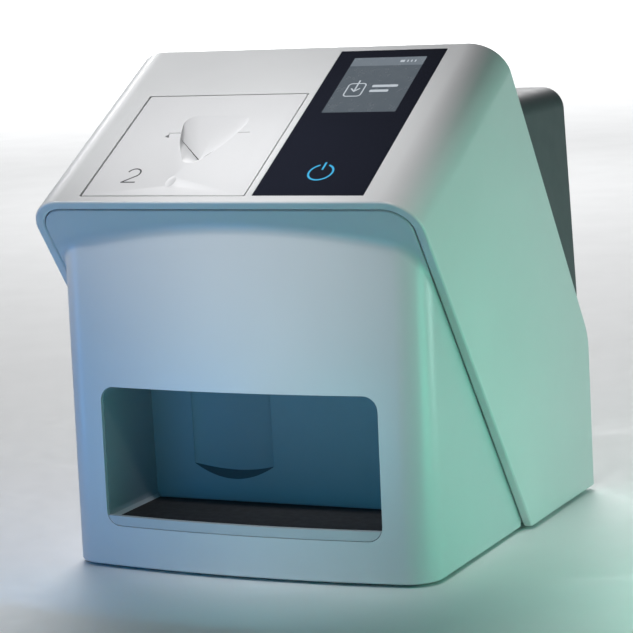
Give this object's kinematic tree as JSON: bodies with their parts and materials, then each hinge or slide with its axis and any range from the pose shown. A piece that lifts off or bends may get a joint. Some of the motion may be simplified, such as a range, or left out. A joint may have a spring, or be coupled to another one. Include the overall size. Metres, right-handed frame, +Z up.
{
  "type": "dental image plate scanner",
  "caption": "Desktop scanner with a sloped hood, a plate insert with a slot, a touch panel and an open chamber with a pull-out tray.",
  "frame": {"origin": "centre of the footprint, on the surface that the feet stand on", "axes": "+X to the right of a person facing the front, +Y to the rear, +Z up"},
  "size_m": [0.226, 0.243, 0.271],
  "materials": {
    "hood_plastic": "satin moulded plastic, fine grain",
    "front_plastic": "satin moulded plastic, light silver",
    "rear_plastic": "dark grey, fine texture",
    "insert_plastic": "matt white",
    "tray_plastic": "satin",
    "chamber_plastic": "matt",
    "mat_foam": "matt black",
    "foot_rubber": "matt",
    "belt_rubber": "ribbed",
    "touch_glass": "polished black cover glass",
    "symbol_light": "lit line",
    "light_guide": "frosted",
    "screen": "glossy",
    "sheet_steel": "zinc plated sheet",
    "screw_steel": "plated",
    "shaft_steel": "ground",
    "inner_plastic": "matt",
    "bush_brass": "turned",
    "pulley_plastic": "moulded",
    "gear_plastic": "natural acetal",
    "motor_metal": "black",
    "bench_aluminium": "machined",
    "mirror_face": "polished",
    "lens_glass": "clear moulded",
    "tube_metal": "satin",
    "lamp_black": "black",
    "circuit_board": "solder mask",
    "socket_metal": "plated",
    "black_plastic": "moulded",
    "fan_plastic": "moulded",
    "button_plastic": "moulded"
  },
  "bodies": {
    "housing": {"hood_shell": "hood_plastic", "front_housing": "front_plastic", "rear_housing": "rear_plastic", "base_plate": "sheet_steel", "rubber_feet": "foot_rubber", "base_screws": "screw_steel", "rear_screws": "screw_steel", "inlet_seat": "inner_plastic", "touch_glass": "touch_glass", "standby_symbol": "symbol_light", "standby_light_guide": "light_guide", "display_panel": "screen", "display_carrier": "inner_plastic", "display_board": "circuit_board", "output_chamber": "chamber_plastic", "outlet_chute": "inner_plastic", "bulkhead": "sheet_steel", "shelf_plate": "sheet_steel", "shelf_legs": "sheet_steel", "left_side_frame": "sheet_steel", "right_side_frame": "sheet_steel", "front_guide_plate": "inner_plastic", "rear_guide_plate": "inner_plastic", "shaft_bearings": "bush_brass", "transport_belts": "belt_rubber", "drive_motor": "motor_metal", "optical_bench": "bench_aluminium", "scan_motor": "motor_metal", "laser_module": "bush_brass", "laser_mount": "bench_aluminium", "scan_lens": "lens_glass", "light_collector": "lens_glass", "photomultiplier": "tube_metal", "detector_bracket": "sheet_steel", "eraser_unit": "lamp_black", "main_board": "circuit_board", "board_standoffs": "bush_brass", "board_screws": "screw_steel", "power_board": "circuit_board", "network_socket": "socket_metal", "dc_inlet": "black_plastic", "reset_switch": "black_plastic", "fan_housing": "black_plastic"},
    "tray": {"collecting_tray": "tray_plastic", "tray_mat": "mat_foam"},
    "insert": {"inlet_insert": "insert_plastic"},
    "drive": {"drive_shaft": "shaft_steel", "drive_pulleys": "pulley_plastic", "drive_gear": "gear_plastic"},
    "idler": {"idler_shaft": "shaft_steel", "idler_pulleys": "pulley_plastic"},
    "motor_rotor": {"motor_shaft": "shaft_steel", "motor_pinion": "bush_brass"},
    "mirror_rotor": {"mirror_spindle": "shaft_steel", "polygon_mirror": "mirror_face"},
    "fan_wheel": {"fan_rotor": "fan_plastic"},
    "reset": {"reset_button": "button_plastic"}
  },
  "joints": [
    {"name": "tray_slide", "type": "slide", "parent": "housing", "child": "tray", "axis": [0, -1, 0], "range_m": [0, 0.045]},
    {"name": "insert_lift", "type": "slide", "parent": "housing", "child": "insert", "axis": [0, -0.4827, 0.8758], "range_m": [0, 0.05]},
    {"name": "drive_spin", "type": "hinge", "parent": "housing", "child": "drive", "pos_m": [-0.0285, -0.0767, 0.129], "axis": [1, 0, 0], "continuous": true},
    {"name": "idler_spin", "type": "hinge", "parent": "housing", "child": "idler", "pos_m": [-0.0285, -0.0767, 0.191], "axis": [1, 0, 0], "continuous": true},
    {"name": "motor_spin", "type": "hinge", "parent": "housing", "child": "motor_rotor", "pos_m": [-0.0285, -0.0767, 0.15215], "axis": [1, 0, 0], "continuous": true},
    {"name": "mirror_spin", "type": "hinge", "parent": "housing", "child": "mirror_rotor", "pos_m": [-0.0285, 0.0095, 0.161], "axis": [0, 0, 1], "continuous": true},
    {"name": "fan_spin", "type": "hinge", "parent": "housing", "child": "fan_wheel", "pos_m": [0.071, 0.1135, 0.062], "axis": [0, 1, 0], "continuous": true},
    {"name": "reset_press", "type": "slide", "parent": "housing", "child": "reset", "axis": [0, -1, 0], "range_m": [0, 0.001], "stiffness_N_per_m": 500, "springref_m": -0.0005}
  ],
  "couplings": [
    {"joint": "idler_spin", "follows": "drive_spin", "ratio": 1},
    {"joint": "motor_spin", "follows": "drive_spin", "ratio": -2.2857}
  ]
}
